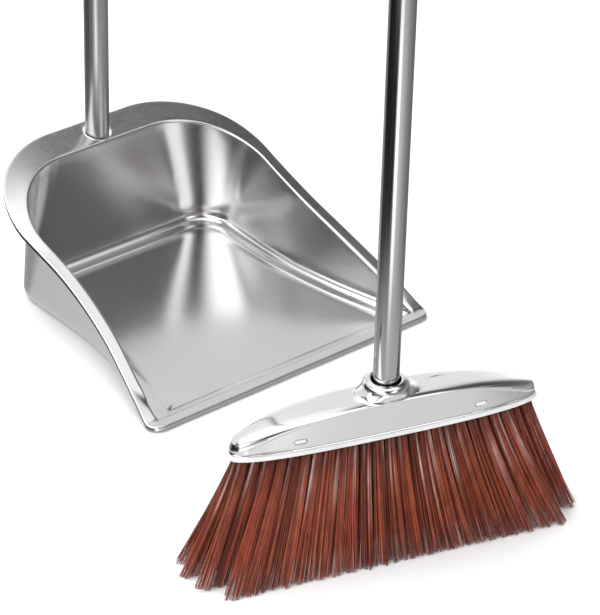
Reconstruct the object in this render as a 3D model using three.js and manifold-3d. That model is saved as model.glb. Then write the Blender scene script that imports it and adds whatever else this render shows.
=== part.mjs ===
// Dust pan and broom set, each on its own long upright tube handle.
// Millimetres, +Z up, the pan's open front faces -Y and both pieces stand on z = 0.
// The pan is one deep-drawn sheet with a rim flange; its handle passes through a hole in the
// rear flange into a cup welded behind the rear wall. The broom is a bristle block under a
// pressed metal cover, with a threaded stud for its handle. Both handles are four screwed
// tube sections with an end cap and a hanging loop, and a clip on the broom handle takes the
// pan handle for storage.
import * as THREE from 'three';
import { mergeVertices } from 'three/addons/utils/BufferGeometryUtils.js';
import Module from 'manifold-3d';

const wasm = await Module();
wasm.setup();

// ---------------------------------------------------------------- driving dimensions
const GAP = 0.3; // clearance between separate pieces

// pan
const SHEET = 1.0; // thickness of the pressed sheet
const PAN_DEPTH = 307; // front lip to rear edge of the rim
const FRONT_FLANGE = 11; // rim width along the front
const SIDE_FLANGE = 12; // rim width along the sides
const REAR_FLANGE = 31.5; // rim width at the rear
const FLOOR_TOP = SHEET; // top of the sunken floor panel
const STEP_UP = 0.8; // raised border between floor panel and wall fillet
const WALL_FILLET = 9; // fillet between floor and walls
const RIM_FILLET = 3; // fillet between walls and rim
const HEM_DROP = 3.5; // turned-down lip round the rim
// outer half width of the rim along its depth, and height of the rim along its depth
const RIM_HALF_WIDTH = [[0, 158], [40, 150.5], [95, 140.5], [155, 135], [230, 137], [307, 139.5]];
const RIM_HEIGHT = [
  [0, 6], [12, 6.3], [38, 21], [92, 47.5], [154, 70.7], [215, 90.3], [261, 107.4], [307, 123.6],
];
const RIM_DROOP = [[0, 0.3], [155, 0.8], [230, 2], [307, 3.2]]; // fall of the rim to its outer edge

// pan handle
const PAN_TUBE_R = 11;
const PAN_HANDLE_Y = 290.5;
const PAN_HOLE_R = 12.8; // hole in the rear flange
const PAN_TUBE_Z = [34, 378, 696, 1014, 1322]; // ends of the four tube sections
const CUP_R = 13.1;
const CUP_BOTTOM = 30;
const CUP_TOP = 92;
const CUP_SCREW_Z = 62;

// broom
const BROOM_AT = [-95.5, -219.5]; // centre of the broom on the floor
const BROOM_TURN = THREE.MathUtils.degToRad(-16.9);
const BROOM_TUBE_R = 10.5;
const BLOCK_BOTTOM = 103;
const BLOCK_RIM = 4; // height of the block that shows below the cover
const COVER_BOTTOM = BLOCK_BOTTOM + BLOCK_RIM + GAP;
const COVER_L = 131; // half length of the cover
const COVER_W = 17.2; // half width of the cover
const COVER_SHEET = 0.9;
const COVER_EXPONENT = 2.8; // roundness of the cover's outline
const PANEL_INSET = 2.2; // the side panels sit this far in from the crease
const NECK = [29, 16.2]; // half axes of the oval where the dome turns up into the neck
const COLLAR_TOP = 147.5;
const COLLAR_R = 18.4;
const COLLAR_BORE = 11.8;
const SLOT_U = 77.2; // the snap slots, along the cover and above its bottom edge
const SLOT_RISE = 7.3;
const SLOT_SIZE = [11, 4.6];
// heights above the cover's bottom edge, along the half length of the cover
const CREASE_RISE = [[0, 27], [40, 25.8], [66, 22.8], [86, 18.8], [106, 12.4], [120, 7], [131, 3.4]];
const RIDGE_RISE = [
  [0, 28.8], [40, 27.9], [66, 25.8], [86, 23], [104, 19], [117, 15], [125, 12], [129, 9.4], [131, 4.4],
];
const BROOM_TUBE_Z = [122, 532, 836, 1140, 1444];

// bristles
const ROW_V = [-11.2, -5.6, 0, 5.6, 11.2]; // rows across the block
const ROW_HALF = [100, 120, 124, 120, 100]; // half length of each row at the block
const ROW_REACH = [131.58, 157.38, 163.83, 157.38, 131.58]; // and at the floor
const TUFT_PITCH = 10.1;
const FLARE_V = 3.5; // how far the rows spread apart by the floor
const TUFT_ROOT = [3.3, 1.9];
const TUFT_TIP = [6.1, 7.2];

// tube fittings
const TUBE_WALL = 1.0;
const COUPLER_REACH = 30;
const CAP_HEIGHT = 16;
const CAP_SKIRT = 8;
const CAP_R = 12.3;
const LOOP_PIVOT = 6; // height of the loop's pivot above the end of the tube
const LOOP_ROD_R = 1.5;
const LOOP_HALF_WIDTH = 19.5;
const LOOP_DROP = 36;

// storage clip on the broom handle
const CLIP_Z = 1055;
const CLIP_TALL = 26;
const CLIP_WALL = 2.6;
const CLIP_MOUTH = THREE.MathUtils.degToRad(50); // half angle of the open mouth

// ---------------------------------------------------------------- materials
function finish(color, roughness, metalness, extra = {}) {
  return new THREE.MeshStandardMaterial({ color, roughness, metalness, ...extra });
}
const satinSteel = () => finish(0xb9bbbc, 0.32, 1.0);
const polishedSteel = () => finish(0xd2d3d4, 0.14, 1.0);
const tubeSteel = () => finish(0xa9abad, 0.24, 1.0);
const whitePlastic = () => finish(0xeeeeec, 0.4, 0.0);
const clearPlastic = () => finish(0xf4f6f6, 0.12, 0.0, { transparent: true, opacity: 0.55 });
const darkPlastic = () => finish(0x2b2c2e, 0.5, 0.0);
const bristleRed = () => finish(0x7c3428, 0.38, 0.0);

// ---------------------------------------------------------------- geometry helpers
const lerp = THREE.MathUtils.lerp;

// Smooth curve through [x, value] points, as a function of x.
function profile(points) {
  const slope = points.map((p, i) => {
    const before = points[Math.max(i - 1, 0)];
    const after = points[Math.min(i + 1, points.length - 1)];
    return (after[1] - before[1]) / (after[0] - before[0]);
  });
  return (x) => {
    let i = 0;
    while (i < points.length - 2 && x > points[i + 1][0]) i += 1;
    const [x0, y0] = points[i];
    const [x1, y1] = points[i + 1];
    const h = x1 - x0;
    const t = THREE.MathUtils.clamp((x - x0) / h, 0, 1);
    const a = (1 + 2 * t) * (1 - t) ** 2;
    const b = t * (1 - t) ** 2;
    const c = t * t * (3 - 2 * t);
    const d = t * t * (t - 1);
    return a * y0 + b * h * slope[i] + c * y1 + d * h * slope[i + 1];
  };
}

// A solid from a geometry, and back again.
function solid(geometry) {
  const bare = geometry.clone();
  for (const name of Object.keys(bare.attributes)) {
    if (name !== 'position') bare.deleteAttribute(name);
  }
  const merged = mergeVertices(bare, 1e-4);
  return new wasm.Manifold(new wasm.Mesh({
    numProp: 3,
    vertProperties: new Float32Array(merged.attributes.position.array),
    triVerts: new Uint32Array(merged.index.array),
  }));
}

function geometryOf(manifold) {
  const made = manifold.getMesh();
  const geometry = new THREE.BufferGeometry();
  const places = new Float32Array(made.vertProperties);
  geometry.setAttribute('position', new THREE.BufferAttribute(places, 3));
  geometry.setIndex(new THREE.BufferAttribute(new Uint32Array(made.triVerts), 1));
  geometry.computeVertexNormals();
  return geometry;
}

const cut = (body, ...tools) => geometryOf(tools.reduce((s, g) => s.subtract(solid(g)), solid(body)));
const join = (first, ...more) => geometryOf(more.reduce((s, g) => s.add(solid(g)), solid(first)));

// A closed mesh from points and triangles.
function meshGeometry(points, triangles) {
  const geometry = new THREE.BufferGeometry();
  geometry.setAttribute('position', new THREE.Float32BufferAttribute(points.flat(), 3));
  geometry.setIndex(triangles.flat());
  return geometry;
}

// Turned solid about the Z axis from [radius, z] points.
function turned(points, segments = 24) {
  const geometry = new THREE.LatheGeometry(points.map(([r, z]) => new THREE.Vector2(r, z)), segments);
  geometry.rotateX(Math.PI / 2);
  return geometry;
}

// Hollow tube between two heights.
function pipe(outer, inner, z0, z1, segments = 24) {
  return turned([[inner, z0], [outer, z0], [outer, z1], [inner, z1], [inner, z0]], segments);
}

// Solid round bar along X, Y or Z between two places on that axis.
function bar(radius, from, to, axis = 'z', segments = 16) {
  const geometry = new THREE.CylinderGeometry(radius, radius, to - from, segments);
  geometry.translate(0, (from + to) / 2, 0);
  if (axis === 'z') geometry.rotateX(Math.PI / 2);
  if (axis === 'x') geometry.rotateZ(-Math.PI / 2);
  return geometry;
}

// Unit normals of a grid of rows, each row a closed ring of points.
function ringNormals(rows) {
  const count = rows[0].length;
  return rows.map((row, r) => row.map((point, i) => {
    const along = new THREE.Vector3().subVectors(
      new THREE.Vector3(...row[(i + 1) % count]),
      new THREE.Vector3(...row[(i + count - 1) % count]),
    );
    const across = new THREE.Vector3().subVectors(
      new THREE.Vector3(...rows[Math.min(r + 1, rows.length - 1)][i]),
      new THREE.Vector3(...rows[Math.max(r - 1, 0)][i]),
    );
    return across.cross(along).normalize();
  }));
}

// Sheet of the given thickness from rings of its upper face, listed from the inside out and
// anticlockwise seen from above. With a floor the first ring is filled in.
function sheetShell(rows, thickness, withFloor) {
  const count = rows[0].length;
  const normals = ringNormals(rows);
  const lower = rows.map((row, r) => row.map((p, i) => {
    const n = normals[r][i];
    return [p[0] - n.x * thickness, p[1] - n.y * thickness, p[2] - n.z * thickness];
  }));
  if (withFloor) {
    lower[0] = rows[0].map((p) => [p[0], p[1], p[2] - thickness]);
  }
  const points = [...rows.flat(), ...lower.flat()];
  const half = rows.length * count;
  const triangles = [];
  for (let r = 0; r < rows.length - 1; r += 1) {
    for (let i = 0; i < count; i += 1) {
      const j = (i + 1) % count;
      const a = r * count + i;
      const b = r * count + j;
      const c = a + count;
      const d = b + count;
      triangles.push([a, c, b], [b, c, d]);
      triangles.push([half + a, half + b, half + c], [half + b, half + d, half + c]);
    }
  }
  const last = (rows.length - 1) * count;
  for (let i = 0; i < count; i += 1) {
    const j = (i + 1) % count;
    triangles.push([last + i, half + last + i, last + j], [last + j, half + last + i, half + last + j]);
    if (!withFloor) {
      triangles.push([i, j, half + i], [j, half + j, half + i]);
    }
  }
  if (withFloor) {
    const ring = rows[0].map((p) => new THREE.Vector2(p[0], p[1]));
    for (const [a, b, c] of THREE.ShapeUtils.triangulateShape(ring, [])) {
      triangles.push([a, b, c], [half + a, half + c, half + b]);
    }
  }
  return meshGeometry(points, triangles);
}

// ---------------------------------------------------------------- pan
const rimHalfWidth = profile(RIM_HALF_WIDTH);
const rimHeight = profile(RIM_HEIGHT);
const rimDroop = profile(RIM_DROOP);

// Closed outline of the pan at one level, anticlockwise from the middle of the front edge.
// front and rear are the places of its straight edges, inset(y) its distance in from the rim.
function panOutline({ front, rear, inset, frontRadius, rearRadius }) {
  const half = [];
  const sideX = (y) => rimHalfWidth(y) - inset(y);
  const frontX = sideX(front + frontRadius) - frontRadius;
  const rearX = sideX(rear - rearRadius) - rearRadius;
  const frontSteps = 4;
  for (let i = 0; i < frontSteps; i += 1) {
    half.push([(frontX * i) / frontSteps, front]);
  }
  const cornerSteps = 4;
  for (let i = 0; i < cornerSteps; i += 1) {
    const a = -Math.PI / 2 + (Math.PI / 2) * (i / cornerSteps);
    half.push([frontX + frontRadius * Math.cos(a), front + frontRadius * (1 + Math.sin(a))]);
  }
  const sideSteps = 12;
  for (let i = 0; i < sideSteps; i += 1) {
    const y = lerp(front + frontRadius, rear - rearRadius, (i / sideSteps) ** 1.15);
    half.push([sideX(y), y]);
  }
  const arcSteps = 8;
  for (let i = 0; i < arcSteps; i += 1) {
    const a = (Math.PI / 2) * (i / arcSteps);
    half.push([rearX + rearRadius * Math.cos(a), rear - rearRadius * (1 - Math.sin(a))]);
  }
  const rearSteps = 3;
  for (let i = 0; i < rearSteps; i += 1) {
    half.push([rearX * (1 - i / rearSteps), rear]);
  }
  const mirrored = half.slice(1).reverse().map(([x, y]) => [-x, y]);
  return [...half, [0, rear], ...mirrored];
}

const wallInset = (y) => SIDE_FLANGE + 2.5 + 0.1 * (rimHeight(y) - RIM_HEIGHT[0][1]);
const REAR_WALL_TOP_Y = PAN_DEPTH - REAR_FLANGE;
const REAR_WALL_FOOT_Y = REAR_WALL_TOP_Y - 6.2;

function panLevels() {
  const rim = panOutline({
    front: 0,
    rear: PAN_DEPTH,
    inset: () => 0,
    frontRadius: 12,
    rearRadius: 92,
  });
  const inner = panOutline({
    front: FRONT_FLANGE,
    rear: REAR_WALL_TOP_Y,
    inset: () => SIDE_FLANGE,
    frontRadius: 4,
    rearRadius: 75,
  });
  const foot = panOutline({
    front: FRONT_FLANGE + 3,
    rear: REAR_WALL_FOOT_Y,
    inset: wallInset,
    frontRadius: 3,
    rearRadius: 31,
  });
  const floor = panOutline({
    front: FRONT_FLANGE + 12,
    rear: REAR_WALL_FOOT_Y - 15,
    inset: (y) => wallInset(y) + 15,
    frontRadius: 3,
    rearRadius: 24,
  });
  const lift = (outline, height) => outline.map(([x, y]) => new THREE.Vector3(x, y, height(y)));
  return {
    rim: lift(rim, (y) => rimHeight(y) - rimDroop(y)),
    inner: lift(inner, rimHeight),
    foot: lift(foot, () => FLOOR_TOP + STEP_UP),
    floor: lift(floor, () => FLOOR_TOP + STEP_UP),
  };
}

// A point at the given distance from one point towards another.
function towards(from, to, distance) {
  const length = from.distanceTo(to);
  return from.clone().lerp(to, Math.min(distance / length, 1));
}

function bend(a, corner, b, t) {
  return new THREE.QuadraticBezierCurve3(a, corner, b).getPoint(t);
}

// One section of the sheet's upper face, from the floor panel out over the wall and the rim.
function panSection(floor, foot, inner, rim) {
  const rise = inner.z - foot.z;
  const fillet = Math.min(WALL_FILLET, 0.42 * rise);
  const lip = Math.min(RIM_FILLET, 0.3 * rise);
  const onFloor = towards(foot, floor, fillet);
  const onWall = towards(foot, inner, fillet);
  const wallTop = towards(inner, foot, lip);
  const onRim = towards(inner, rim, lip);
  const rimEdge = towards(rim, inner, 1.8);
  const hemTop = rim.clone().setZ(rim.z - 1.8);
  const panelEdge = floor.clone().setZ(FLOOR_TOP);
  const step = floor.clone().lerp(foot, 0.2);
  return [
    panelEdge,
    step,
    onFloor,
    bend(onFloor, foot, onWall, 0.33),
    bend(onFloor, foot, onWall, 0.67),
    onWall,
    wallTop,
    bend(wallTop, inner, onRim, 0.5),
    onRim,
    rimEdge,
    bend(rimEdge, rim, hemTop, 0.5),
    hemTop,
    rim.clone().setZ(rim.z - HEM_DROP),
  ];
}

function panBody() {
  const { rim, inner, foot, floor } = panLevels();
  const sections = rim.map((_, i) => panSection(floor[i], foot[i], inner[i], rim[i]));
  const rows = sections[0].map((_, r) => sections.map((section) => section[r].toArray()));
  const shell = sheetShell(rows, SHEET, true);
  const hole = bar(PAN_HOLE_R, 100, 140, 'z', 28);
  hole.translate(0, PAN_HANDLE_Y, 0);
  return cut(shell, hole);
}

// Cup behind the rear wall that holds the foot of the pan handle, with its weld pad.
function handleCup() {
  const wallFace = (z) => lerp(REAR_WALL_FOOT_Y, REAR_WALL_TOP_Y, z / rimHeight(REAR_WALL_TOP_Y));
  const padFront = (z) => wallFace(z) + SHEET + GAP + 0.1;
  const bore = PAN_TUBE_R + GAP;
  const cup = turned([
    [0, CUP_BOTTOM], [CUP_R - 2, CUP_BOTTOM], [CUP_R, CUP_BOTTOM + 2], [CUP_R, CUP_TOP],
    [bore, CUP_TOP], [bore, PAN_TUBE_Z[0] - GAP], [0, PAN_TUBE_Z[0] - GAP],
  ]);
  cup.translate(0, PAN_HANDLE_Y, 0);
  const side = new THREE.Shape([
    new THREE.Vector2(padFront(CUP_BOTTOM + 6), CUP_BOTTOM + 6),
    new THREE.Vector2(PAN_HANDLE_Y - bore + 1, CUP_BOTTOM + 6),
    new THREE.Vector2(PAN_HANDLE_Y - bore + 1, CUP_TOP - 4),
    new THREE.Vector2(padFront(CUP_TOP - 4), CUP_TOP - 4),
  ]);
  const padWidth = 34;
  const pad = new THREE.ExtrudeGeometry(side, { depth: padWidth, bevelEnabled: false });
  pad.rotateY(Math.PI / 2);
  pad.rotateX(Math.PI / 2);
  pad.translate(-padWidth / 2, 0, 0);
  const tubeRoom = bar(bore, PAN_TUBE_Z[0] - GAP, CUP_TOP + 1, 'z', 28);
  tubeRoom.translate(0, PAN_HANDLE_Y, 0);
  const screwRoom = bar(2.4, PAN_HANDLE_Y + 5, PAN_HANDLE_Y + 20, 'y');
  screwRoom.translate(0, 0, CUP_SCREW_Z);
  return cut(join(cup, pad), tubeRoom, screwRoom);
}

// Pan-head screw from behind, through the cup into the tube.
function cupScrew() {
  const head = turned([[0, -7], [2.0, -7], [2.0, 0], [4, 0], [4, 1.2], [2.8, 2.2], [0, 2.6]], 16);
  head.rotateX(-Math.PI / 2);
  head.translate(0, PAN_HANDLE_Y + CUP_R + GAP, CUP_SCREW_Z);
  return head;
}

// ---------------------------------------------------------------- handles
function tubeSection(radius, z0, z1) {
  return pipe(radius, radius - TUBE_WALL, z0, z1);
}

// Threaded plug that joins two tube sections, with a thin collar at the seam.
function coupler(radius, seam) {
  const plug = radius - TUBE_WALL - 0.4;
  const collar = radius - 0.2;
  return turned([
    [0, seam - COUPLER_REACH], [plug, seam - COUPLER_REACH], [plug, seam - 0.7], [collar, seam - 0.7],
    [collar, seam + 0.7], [plug, seam + 0.7], [plug, seam + COUPLER_REACH], [0, seam + COUPLER_REACH],
  ], 20);
}

// Domed cap that plugs the top of a tube, cross-drilled along X for the hanging loop.
function endCap(radius) {
  const plug = radius - TUBE_WALL - 0.4;
  const dome = [];
  const steps = 4;
  for (let i = 0; i <= steps; i += 1) {
    const a = (Math.PI / 2) * (i / steps);
    dome.push([(CAP_R - 0.6) * Math.cos(a), CAP_SKIRT + 1 + (CAP_HEIGHT - CAP_SKIRT - 1) * Math.sin(a)]);
  }
  dome[steps][0] = 0;
  const body = turned([
    [0, -15], [plug, -15], [plug, GAP], [CAP_R - 0.5, GAP], [CAP_R, 1],
    [CAP_R, CAP_SKIRT], [CAP_R - 0.6, CAP_SKIRT + 0.4], ...dome,
  ], 20);
  const pivot = bar(LOOP_ROD_R + GAP, -20, 20, 'x', 16);
  pivot.translate(0, 0, LOOP_PIVOT);
  const slit = new THREE.BoxGeometry(9, 3.6, 3.6);
  slit.translate(0, 0, LOOP_PIVOT);
  return cut(body, pivot, slit);
}

// Bail of round rod: its two ends turn in the cap and it hangs against the front of the tube.
function hangLoop(radius) {
  const half = LOOP_HALF_WIDTH;
  const route = [
    [-5, 0], [-9, 0], [-14, -0.2], [-half + 1.6, -2.6], [-half, -9], [-half + 1, -19],
    [-half + 6.5, -29], [-6.6, -LOOP_DROP + 1.1], [0, -LOOP_DROP],
  ];
  const mirrored = route.slice(0, -1).reverse().map(([x, z]) => [-x, z]);
  const points = [...route, ...mirrored].map(([x, z]) => new THREE.Vector3(x, 0, z));
  const path = new THREE.CatmullRomCurve3(points, false, 'centripetal');
  const section = new THREE.Shape();
  section.absarc(0, 0, LOOP_ROD_R, 0, 2 * Math.PI);
  const rod = new THREE.ExtrudeGeometry(section, { steps: 26, curveSegments: 3, extrudePath: path });
  const lean = Math.asin((radius + LOOP_ROD_R + 2 * GAP) / LOOP_DROP);
  rod.rotateX(-lean);
  return rod;
}

// ---------------------------------------------------------------- broom head
const creaseRise = profile(CREASE_RISE);
const ridgeRise = profile(RIDGE_RISE);

// Point of a rounded oval outline, and its half width at a place along it.
function ovalPoint(length, width, angle) {
  const round = (c) => Math.sign(c) * Math.abs(c) ** (2 / COVER_EXPONENT);
  return [length * round(Math.cos(angle)), width * round(Math.sin(angle))];
}

function ovalHalfWidth(length, width, u) {
  const share = Math.min(Math.abs(u) / length, 1);
  return width * (1 - share ** COVER_EXPONENT) ** (1 / COVER_EXPONENT);
}

// Angles round an oval that put its points evenly along its outline.
function ovalAngles(count) {
  const fine = 1200;
  const lengths = [0];
  let before = ovalPoint(COVER_L, COVER_W, 0);
  for (let i = 1; i <= fine; i += 1) {
    const here = ovalPoint(COVER_L, COVER_W, (2 * Math.PI * i) / fine);
    lengths.push(lengths[i - 1] + Math.hypot(here[0] - before[0], here[1] - before[1]));
    before = here;
  }
  const angles = [];
  let k = 0;
  for (let i = 0; i < count; i += 1) {
    while (lengths[k] < (lengths[fine] * i) / count) k += 1;
    angles.push((2 * Math.PI * k) / fine);
  }
  return angles;
}

// Height of the dome above the cover's bottom edge at a place in plan.
function domeRise(u, v) {
  const width = Math.max(ovalHalfWidth(COVER_L, COVER_W, u), 0.01);
  const share = Math.min(Math.abs(v) / width, 1);
  const bulge = (1 - share ** 2.4) ** 0.5;
  return lerp(creaseRise(Math.abs(u)), ridgeRise(Math.abs(u)), bulge);
}

// One section of the cover's outer face, from the collar's bore out to the bottom edge.
function coverSection(angle) {
  const at = (inset) => ovalPoint(COVER_L - inset, COVER_W - inset, angle);
  const crease = at(0.5);
  const panel = creaseRise(Math.abs(crease[0]));
  const inset = PANEL_INSET * Math.min(1, panel / 12);
  const direction = Math.atan2(crease[1] * 3, crease[0]);
  const onCircle = (radius, rise) => [radius * Math.cos(direction), radius * Math.sin(direction), rise];
  const neck = [NECK[0] * Math.cos(direction), NECK[1] * Math.sin(direction), 0];
  const onDome = (share) => {
    const u = lerp(crease[0], neck[0], share);
    const v = lerp(crease[1], neck[1], share);
    return [u, v, domeRise(u, v)];
  };
  const collarRise = COLLAR_TOP - COVER_BOTTOM;
  const neckTurn = onCircle(COLLAR_R, 0).map((place, axis) => lerp(place, neck[axis], 0.4));
  neckTurn[2] = collarRise - 10.4;
  return [
    onCircle(COLLAR_BORE, collarRise - 14),
    onCircle(COLLAR_BORE, collarRise - 1.2),
    onCircle(COLLAR_BORE + 1.4, collarRise),
    onCircle(COLLAR_R - 2.5, collarRise - 1.2),
    onCircle(COLLAR_R, collarRise - 3.8),
    onCircle(COLLAR_R + 0.3, collarRise - 6.5),
    neckTurn,
    onDome(1),
    ...[0.7, 0.42, 0.2, 0.07].map(onDome),
    [...crease, panel],
    [...at(inset), panel - Math.min(1.5, 0.3 * panel)],
    [...at(inset * 0.35), Math.min(1.2, 0.35 * panel)],
    [...at(inset * 0.1), Math.min(0.8, 0.24 * panel)],
    [...at(0), 0],
  ];
}

// Capsule-shaped bar across the head, for the snap slots and the tabs that fill them.
function slotBar(length, height, u, from, to) {
  const r = height / 2;
  const shape = new THREE.Shape();
  shape.absarc(length / 2 - r, 0, r, -Math.PI / 2, Math.PI / 2);
  shape.absarc(-length / 2 + r, 0, r, Math.PI / 2, (3 * Math.PI) / 2);
  const options = { depth: to - from, bevelEnabled: false, curveSegments: 5 };
  const geometry = new THREE.ExtrudeGeometry(shape, options);
  geometry.rotateX(Math.PI / 2);
  geometry.translate(u, to, COVER_BOTTOM + SLOT_RISE);
  return geometry;
}

function headCover() {
  const sections = ovalAngles(52).map(coverSection);
  const rows = sections[0].map((_, r) => sections.map((section) => section[r]));
  const shell = sheetShell(rows, COVER_SHEET, false);
  shell.translate(0, 0, COVER_BOTTOM);
  const slots = [-SLOT_U, SLOT_U].map((u) => slotBar(...SLOT_SIZE, u, -40, 40));
  return cut(shell, ...slots);
}

// Upright prism with the head's oval outline.
function ovalPrism(length, width, z0, z1, count = 44) {
  const outline = [];
  for (let i = 0; i < count; i += 1) {
    outline.push(new THREE.Vector2(...ovalPoint(length, width, (2 * Math.PI * i) / count)));
  }
  const options = { depth: z1 - z0, bevelEnabled: false };
  const geometry = new THREE.ExtrudeGeometry(new THREE.Shape(outline), options);
  geometry.translate(0, 0, z0);
  return geometry;
}

const RISER_TOP = BLOCK_BOTTOM + 14;
const RISER = [100, 12.6]; // half length and half width of the block's raised middle
const STUD_R = 9.0;
// backing strip of each bristle row, in a groove of the block
const STRIP = { width: 2 * TUFT_ROOT[1], depth: 2 };

function bristleBlock() {
  const rim = ovalPrism(COVER_L + 1.6, COVER_W + 1.4, BLOCK_BOTTOM, BLOCK_BOTTOM + BLOCK_RIM);
  const riser = ovalPrism(...RISER, BLOCK_BOTTOM + 1, RISER_TOP);
  const reach = ovalHalfWidth(COVER_L, COVER_W, SLOT_U) - 1.1;
  const [tabLength, tabHeight] = SLOT_SIZE.map((size) => size - 1.2);
  const tabs = [-SLOT_U, SLOT_U].map((u) => slotBar(tabLength, tabHeight, u, -reach, reach));
  const socket = bar(STUD_R + GAP, BLOCK_BOTTOM + 3, RISER_TOP + 1, 'z', 24);
  const grooves = ROW_V.map((v, i) => {
    const groove = new THREE.BoxGeometry(
      2 * (ROW_HALF[i] + TUFT_ROOT[0] + 1.2), STRIP.width + 2 * GAP, 2 * (STRIP.depth + GAP),
    );
    groove.translate(0, v, BLOCK_BOTTOM);
    return groove;
  });
  return cut(join(rim, riser, ...tabs), socket, ...grooves);
}

function headStud() {
  const foot = BLOCK_BOTTOM + 3 + GAP;
  const top = BROOM_TUBE_Z[0] + 28;
  return turned([
    [0, foot], [STUD_R - 1, foot], [STUD_R, foot + 1], [STUD_R, top - 1], [STUD_R - 1, top], [0, top],
  ], 32);
}

// One tuft: a five-sided bundle that spreads from the block down to the floor.
function tuft(u, v, flare) {
  const levels = [{ z: BLOCK_BOTTOM + 0.8, spread: 0 }, { z: 0, spread: 1 }];
  const sides = 5;
  const points = [];
  for (const { z, spread } of levels) {
    const centre = [u * lerp(1, flare, spread), v * lerp(1, FLARE_V, spread)];
    const size = [lerp(TUFT_ROOT[0], TUFT_TIP[0], spread), lerp(TUFT_ROOT[1], TUFT_TIP[1], spread)];
    for (let i = 0; i < sides; i += 1) {
      const a = (2 * Math.PI * (i + 0.25)) / sides;
      points.push([centre[0] + size[0] * Math.cos(a), centre[1] + size[1] * Math.sin(a), z]);
    }
  }
  const triangles = [];
  for (let k = 0; k < levels.length - 1; k += 1) {
    for (let i = 0; i < sides; i += 1) {
      const j = (i + 1) % sides;
      const a = k * sides + i;
      const b = k * sides + j;
      triangles.push([a, a + sides, b], [b, a + sides, b + sides]);
    }
  }
  const last = (levels.length - 1) * sides;
  for (let i = 1; i < sides - 1; i += 1) {
    triangles.push([0, i, i + 1], [last, last + i + 1, last + i]);
  }
  return meshGeometry(points, triangles);
}

function bristleRow(index) {
  const v = ROW_V[index];
  const half = ROW_HALF[index];
  const strip = new THREE.BoxGeometry(2 * (half + TUFT_ROOT[0]), STRIP.width, STRIP.depth);
  strip.translate(0, v, BLOCK_BOTTOM + STRIP.depth / 2 - GAP);
  const count = Math.round((2 * half) / TUFT_PITCH);
  const tufts = [];
  for (let i = 0; i <= count; i += 1) {
    tufts.push(tuft(lerp(-half, half, i / count), v, ROW_REACH[index] / half));
  }
  return join(strip, ...tufts);
}

// ---------------------------------------------------------------- storage clip
const CLIP_BORE = BROOM_TUBE_R + GAP;
const CLIP_GRIP = PAN_TUBE_R + 0.2;
const CLIP_REACH = CLIP_BORE + CLIP_GRIP + CLIP_WALL; // between the two handles' axes

function handleClip() {
  const ring = pipe(CLIP_BORE + CLIP_WALL, CLIP_BORE, 0, CLIP_TALL);
  const from = Math.PI / 2 + CLIP_MOUTH;
  const to = Math.PI / 2 - CLIP_MOUTH + 2 * Math.PI;
  const jaw = new THREE.Shape();
  jaw.absarc(0, 0, CLIP_GRIP + CLIP_WALL, from, to, false);
  const lip = (angle, start, clockwise) => jaw.absarc(
    (CLIP_GRIP + CLIP_WALL / 2) * Math.cos(angle),
    (CLIP_GRIP + CLIP_WALL / 2) * Math.sin(angle),
    CLIP_WALL / 2, start, start + Math.PI, clockwise,
  );
  lip(to, to, false);
  jaw.absarc(0, 0, CLIP_GRIP, to, from, true);
  lip(from, from + Math.PI, false);
  const options = { depth: CLIP_TALL, bevelEnabled: false, curveSegments: 12 };
  const grip = new THREE.ExtrudeGeometry(jaw, options);
  grip.translate(0, CLIP_REACH, 0);
  const web = new THREE.BoxGeometry(15, CLIP_WALL + 5, CLIP_TALL);
  web.translate(0, CLIP_BORE + CLIP_WALL / 2, CLIP_TALL / 2);
  const boreRoom = bar(CLIP_BORE, -1, CLIP_TALL + 1, 'z', 28);
  const gripRoom = bar(CLIP_GRIP, -1, CLIP_TALL + 1, 'z', 28);
  gripRoom.translate(0, CLIP_REACH, 0);
  const clip = cut(join(ring, grip, web), boreRoom, gripRoom);
  clip.translate(0, 0, CLIP_Z);
  return clip;
}

// ---------------------------------------------------------------- assembly
const set = new THREE.Group();

function place(group, name, geometry, material) {
  const mesh = new THREE.Mesh(geometry, material);
  mesh.name = name;
  group.add(mesh);
  return mesh;
}

// Tube sections, couplers, cap and loop of one handle, standing at the group's origin.
function addHandle(group, prefix, radius, heights, fittingsTurn) {
  for (let i = 0; i < heights.length - 1; i += 1) {
    const bottom = heights[i] + (i > 0 ? 1.0 : 0);
    const top = heights[i + 1] - (i < heights.length - 2 ? 1.0 : 0);
    let tube = tubeSection(radius, bottom, top);
    if (prefix === 'pan' && i === 0) {
      const screwRoom = bar(2.4, 5, 20, 'y');
      screwRoom.translate(0, 0, CUP_SCREW_Z);
      tube = cut(tube, screwRoom);
    }
    place(group, `${prefix}_tube_${i + 1}`, tube, tubeSteel());
  }
  heights.slice(1, -1).forEach((seam, i) => {
    place(group, `${prefix}_coupler_${i + 1}`, coupler(radius, seam), darkPlastic());
  });
  const top = heights[heights.length - 1];
  const cap = place(group, `${prefix}_end_cap`, endCap(radius), polishedSteel());
  cap.position.z = top;
  cap.rotation.z = fittingsTurn;
  const loop = place(group, `${prefix}_hang_loop`, hangLoop(radius), clearPlastic());
  loop.position.z = top + LOOP_PIVOT;
  loop.rotation.z = fittingsTurn;
}

function buildPan() {
  const pan = new THREE.Group();
  place(pan, 'pan_body', panBody(), satinSteel());
  place(pan, 'pan_handle_cup', handleCup(), satinSteel());
  place(pan, 'pan_cup_screw', cupScrew(), polishedSteel());
  const handle = new THREE.Group();
  handle.position.y = PAN_HANDLE_Y;
  addHandle(handle, 'pan', PAN_TUBE_R, PAN_TUBE_Z, 0);
  pan.add(handle);
  return pan;
}

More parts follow.
